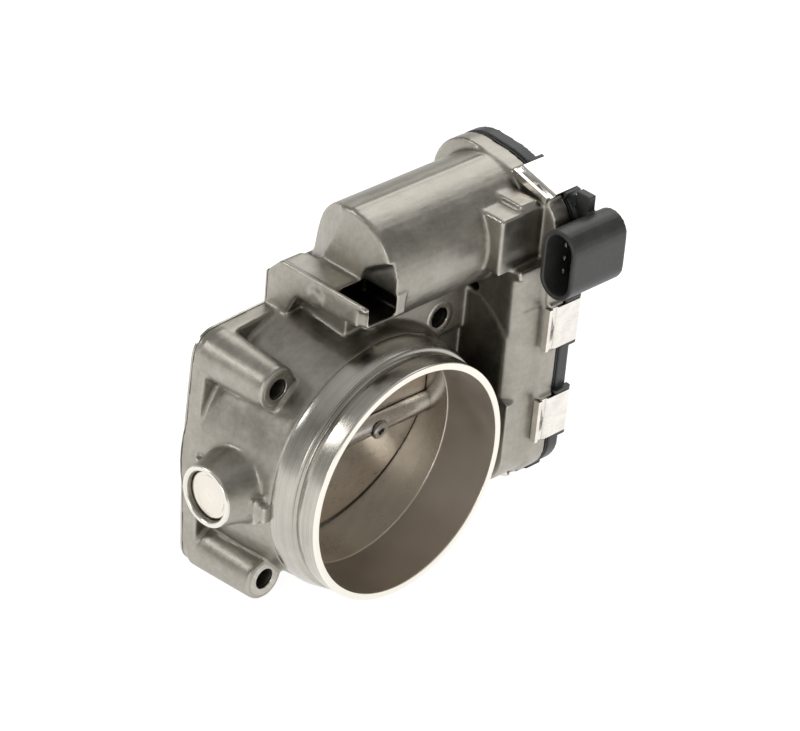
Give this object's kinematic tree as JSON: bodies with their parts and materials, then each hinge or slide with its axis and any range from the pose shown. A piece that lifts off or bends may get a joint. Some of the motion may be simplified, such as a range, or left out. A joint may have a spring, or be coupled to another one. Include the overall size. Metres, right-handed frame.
{
  "type": "throttle body",
  "caption": "Drive-by-wire throttle body: round air bore with a butterfly plate on a shaft, geared electric motor, clipped cover with a cable socket and a square bolt flange.",
  "frame": {"origin": "centre of the air bore in the plane of the manifold flange's rear face", "axes": "+X along the throttle shaft towards the gear cover, +Y out of the bore towards the manifold, +Z from the bore towards the motor"},
  "size_m": [0.1411, 0.084, 0.1385],
  "materials": {
    "cast_aluminium": "as-cast, with machined bore, lip and bolt seats",
    "cover_plastic": "glass-filled moulded black",
    "seal_rubber": "moulded",
    "clip_steel": "bright zinc-plated spring strip",
    "shaft_steel": "ground",
    "plate_aluminium": "turned edge, stamped faces",
    "screw_steel": "plated",
    "gear_plastic": "moulded natural",
    "idler_plastic": "moulded natural",
    "magnet_ferrite": "sintered",
    "bearing_steel": "drawn",
    "plug_zinc": "bright pressed cap",
    "spring_steel": "drawn wire",
    "stop_steel": "plated",
    "motor_zinc": "zinc-plated drawn can",
    "rotor_steel": "laminated core",
    "pinion_brass": "machined",
    "bell_plastic": "moulded",
    "pin_metal": "tin-plated blade"
  },
  "bodies": {
    "housing": {"bearing_gear_side": "bearing_steel", "bearing_plug_side": "bearing_steel", "connector_pin_1": "pin_metal", "connector_pin_2": "pin_metal", "connector_pin_3": "pin_metal", "connector_pin_4": "pin_metal", "connector_pin_5": "pin_metal", "connector_pin_6": "pin_metal", "cover_clip_1": "clip_steel", "cover_clip_2": "clip_steel", "cover_clip_3": "clip_steel", "cover_clip_4": "clip_steel", "cover_clip_5": "clip_steel", "cover_clip_6": "clip_steel", "cover_seal": "seal_rubber", "end_plug": "plug_zinc", "gear_cover": "cover_plastic", "housing": "cast_aluminium", "intermediate_pin": "shaft_steel", "motor_can": "motor_zinc", "motor_end_bell": "bell_plastic", "motor_magnet_1": "magnet_ferrite", "motor_magnet_2": "magnet_ferrite", "motor_screw_1": "screw_steel", "motor_screw_2": "screw_steel", "motor_terminal_1": "pinion_brass", "motor_terminal_2": "pinion_brass", "position_sensor": "cover_plastic", "return_spring": "spring_steel", "shaft_seal_gear_side": "seal_rubber", "shaft_seal_plug_side": "seal_rubber", "stop_screw": "stop_steel", "wave_washer": "spring_steel"},
    "throttle": {"throttle_shaft": "shaft_steel", "throttle_plate": "plate_aluminium", "plate_screw_1": "screw_steel", "plate_screw_2": "screw_steel", "throttle_gear": "gear_plastic", "sensor_magnet": "magnet_ferrite"},
    "intermediate": {"intermediate_gear": "idler_plastic"},
    "rotor": {"motor_rotor": "rotor_steel", "motor_pinion": "pinion_brass"}
  },
  "joints": [
    {"name": "throttle_turn", "type": "hinge", "parent": "housing", "child": "throttle", "pos_m": [0, -0.0243, 0], "axis": [1, 0, 0], "range_deg": [-6, 79], "stiffness_Nm_per_rad": 0.35, "deforming": ["return_spring"]},
    {"name": "intermediate_turn", "type": "hinge", "parent": "housing", "child": "intermediate", "pos_m": [0, -0.02694, 0.0349], "axis": [1, 0, 0], "range_deg": [-320, 28]},
    {"name": "rotor_turn", "type": "hinge", "parent": "housing", "child": "rotor", "pos_m": [0, -0.0244, 0.0668], "axis": [1, 0, 0], "range_deg": [-100, 1270]}
  ],
  "couplings": [
    {"joint": "intermediate_turn", "follows": "throttle_turn", "ratio": -4},
    {"joint": "rotor_turn", "follows": "throttle_turn", "ratio": 16}
  ]
}
